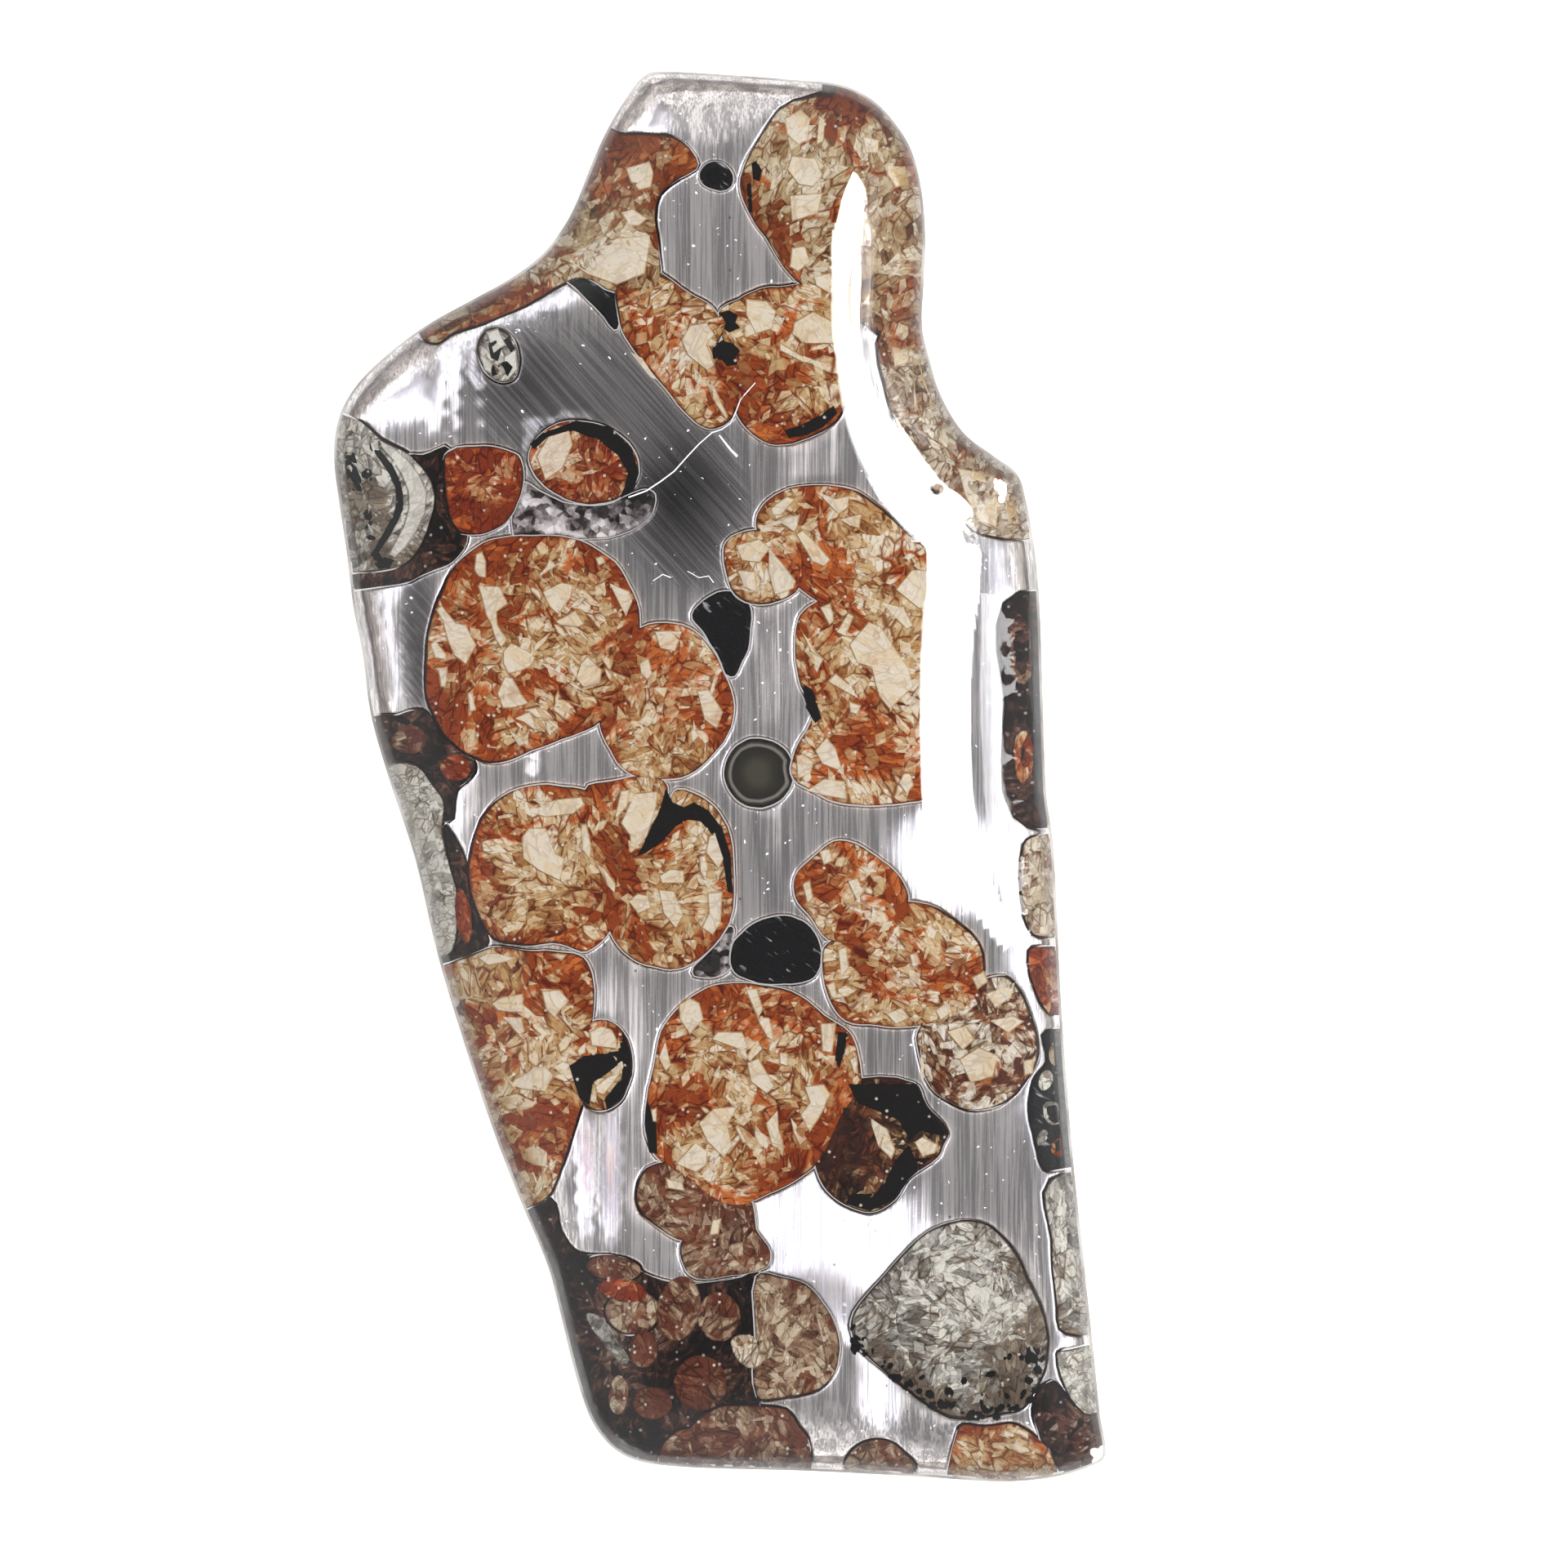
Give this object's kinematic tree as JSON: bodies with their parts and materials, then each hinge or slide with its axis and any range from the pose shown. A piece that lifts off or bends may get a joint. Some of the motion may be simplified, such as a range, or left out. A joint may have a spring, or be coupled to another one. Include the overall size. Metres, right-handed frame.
{
  "type": "pallasite meteorite slice",
  "caption": "Thin stony-iron meteorite slice: brushed iron-nickel metal round amber and rust olivine crystals, sealed in a clear domed resin coat with a flat back.",
  "frame": {"origin": "middle of the slice's bounding box, on the flat back face that it lies on", "axes": "+Y along the slice towards its narrow end, +X across it to the right as seen from the front, +Z out of the domed front face"},
  "size_m": [0.0284, 0.052, 0.004],
  "materials": {
    "resin": "clear, high gloss",
    "metal": "polished, with fine brushed lines and scratches",
    "olivine_amber": "polished, translucent, fractured",
    "olivine_pale": "polished, translucent, frosted",
    "black_mineral": "glossy",
    "oxide": "dull, mottled",
    "granular": "fine sparkling grains"
  },
  "bodies": {
    "root": {"clear_coat_front": "resin", "clear_coat_back": "resin", "metal_plate": "metal", "metal_top_cap": "metal", "metal_upper_centre": "metal", "metal_left_strip": "metal", "metal_crescent": "metal", "metal_inner_strip": "metal", "metal_sliver": "metal", "metal_lower_right": "metal", "olivine_upper_cluster": "olivine_amber", "olivine_rust_round": "olivine_amber", "olivine_red_oval": "olivine_amber", "olivine_large_pair": "olivine_amber", "olivine_centre_cluster": "olivine_amber", "olivine_middle_trio": "olivine_amber", "olivine_left_edge_pair": "olivine_amber", "olivine_lower_cluster": "olivine_amber", "olivine_right_cluster": "olivine_amber", "olivine_rim_orange": "olivine_amber", "olivine_tan_round": "olivine_amber", "olivine_brown_lens": "olivine_amber", "olivine_tan_lens": "olivine_amber", "olivine_bottom_amber": "olivine_amber", "olivine_bottom_disc": "olivine_amber", "olivine_bottom_cluster": "olivine_amber", "olivine_small_shard": "olivine_pale", "olivine_pale_crescent": "olivine_pale", "olivine_pale_edge": "olivine_pale", "olivine_rim_pale": "olivine_pale", "olivine_rim_strip": "olivine_pale", "olivine_grey_large": "olivine_pale", "olivine_pale_corner": "olivine_pale", "black_grain_top": "black_mineral", "black_wedge": "black_mineral", "black_grain_centre": "black_mineral", "black_bead": "black_mineral", "black_grain_lower": "black_mineral", "black_grain_rim": "black_mineral", "oxide_left_shoulder": "oxide", "oxide_left_middle": "oxide", "oxide_left_vein": "oxide", "oxide_lower_left": "oxide", "oxide_right_rim": "oxide", "oxide_corner_bar": "oxide", "granular_patch_upper": "granular", "granular_patch_lower": "granular"}
  },
  "joints": []
}
